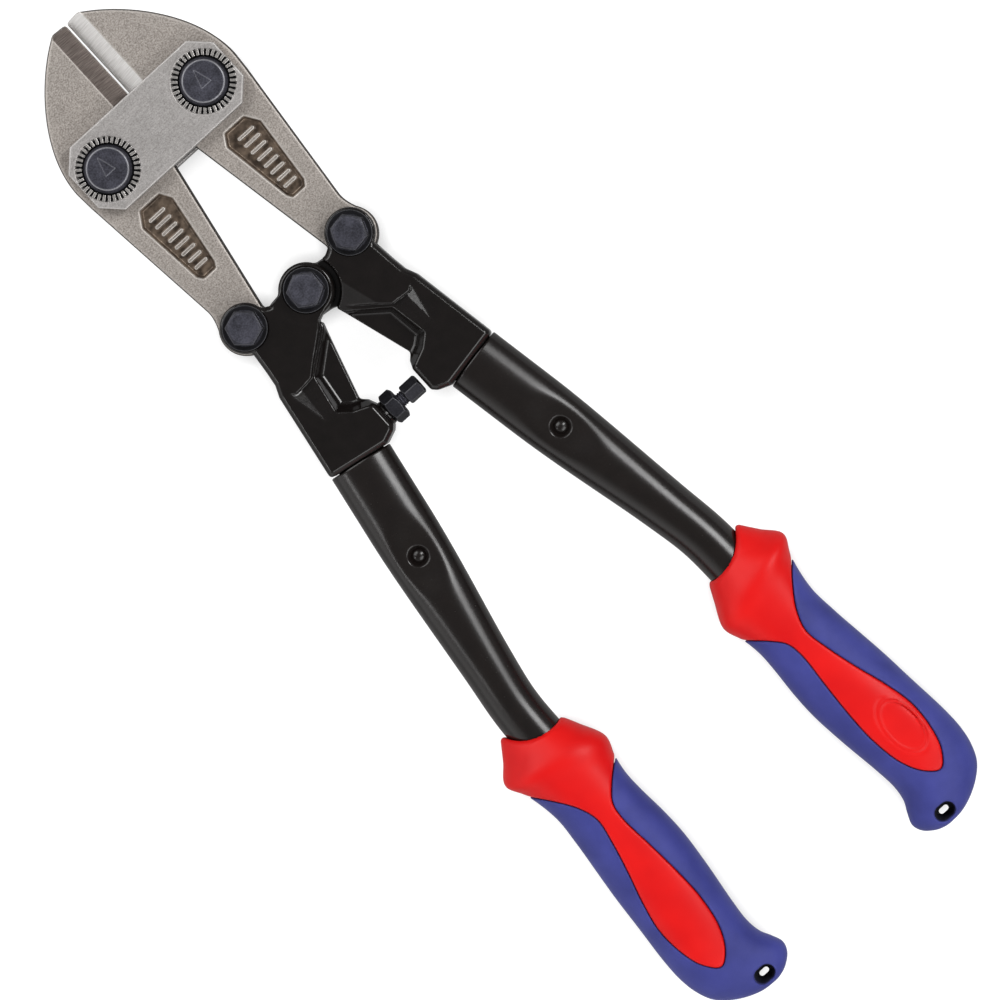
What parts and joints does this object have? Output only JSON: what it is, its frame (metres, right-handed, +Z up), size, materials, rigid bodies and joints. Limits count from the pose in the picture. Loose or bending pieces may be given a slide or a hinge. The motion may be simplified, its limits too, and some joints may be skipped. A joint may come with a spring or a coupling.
{
  "type": "bolt cutters",
  "caption": "Compound-action bolt cutters with forged jaws in a bolted strap, black yokes and bent tube handles, a stop screw and two-tone moulded grips.",
  "frame": {"origin": "bottom centre of the tool's box: under its middle, on the plane that the pivot nuts and grips lie on", "axes": "+Y along the tool towards the blade tips, +X towards the right-hand handle, +Z up through the thickness with the tool lying flat"},
  "size_m": [0.1132, 0.3554, 0.0264],
  "materials": {
    "jaw_steel": "sand-blasted drop-forged tool steel, ground bright on the cutting bevels",
    "fastener_steel": "oil-blackened steel, satin",
    "yoke_enamel": "gloss black enamel over a casting",
    "tube_enamel": "gloss black enamel over steel tube",
    "grip_plastic": "satin moulded nylon, bright red",
    "grip_rubber": "soft matte moulded rubber, blue"
  },
  "bodies": {
    "strap": {"top_strap_plate": "jaw_steel", "bottom_strap_plate": "jaw_steel", "left_jaw_bolt": "fastener_steel", "right_jaw_bolt": "fastener_steel", "left_jaw_nut": "fastener_steel", "right_jaw_nut": "fastener_steel"},
    "jaw_right": {"right_jaw": "jaw_steel"},
    "jaw_left": {"left_jaw": "jaw_steel"},
    "handle_right": {"right_yoke": "yoke_enamel", "right_handle_tube": "tube_enamel", "right_tube_rivet": "fastener_steel", "right_grip_core": "grip_plastic", "right_grip_overmould": "grip_rubber", "right_pivot_bolt": "fastener_steel", "right_pivot_nut": "fastener_steel"},
    "handle_left": {"left_yoke": "yoke_enamel", "left_handle_tube": "tube_enamel", "left_tube_rivet": "fastener_steel", "left_grip_core": "grip_plastic", "left_grip_overmould": "grip_rubber", "left_pivot_bolt": "fastener_steel", "left_pivot_nut": "fastener_steel", "centre_bolt": "fastener_steel", "centre_nut": "fastener_steel"},
    "stop_screw": {"stop_screw": "fastener_steel"},
    "stop_lock_nut": {"stop_lock_nut": "fastener_steel"}
  },
  "joints": [
    {"name": "right_jaw_pivot", "type": "hinge", "parent": "strap", "child": "jaw_right", "pos_m": [0.0194, 0.13642, 0.0132], "axis": [0, 0, 1], "range_deg": [-6.2, 0.1]},
    {"name": "left_jaw_pivot", "type": "hinge", "parent": "strap", "child": "jaw_left", "pos_m": [-0.0194, 0.13642, 0.0132], "axis": [0, 0, 1], "range_deg": [-0.1, 6.2]},
    {"name": "right_handle_pivot", "type": "hinge", "parent": "jaw_right", "child": "handle_right", "pos_m": [0.0212, 0.07372, 0.0132], "axis": [0, 0, 1], "range_deg": [-0.7, 46]},
    {"name": "left_handle_pivot", "type": "hinge", "parent": "jaw_left", "child": "handle_left", "pos_m": [-0.0212, 0.07372, 0.0132], "axis": [0, 0, 1], "range_deg": [-46, 0.7]},
    {"name": "stop_screw_travel", "type": "slide", "parent": "handle_left", "child": "stop_screw", "axis": [1, 0, 0], "range_m": [-0.0015, 0]},
    {"name": "lock_nut_turn", "type": "hinge", "parent": "handle_left", "child": "stop_lock_nut", "pos_m": [-0.0042, 0.02672, 0.0132], "axis": [1, 0, 0], "continuous": true}
  ],
  "couplings": [
    {"joint": "left_handle_pivot", "follows": "right_handle_pivot", "ratio": -1},
    {"joint": "right_jaw_pivot", "follows": "right_handle_pivot", "ratio": -0.1327},
    {"joint": "left_jaw_pivot", "follows": "right_handle_pivot", "ratio": 0.1327}
  ]
}
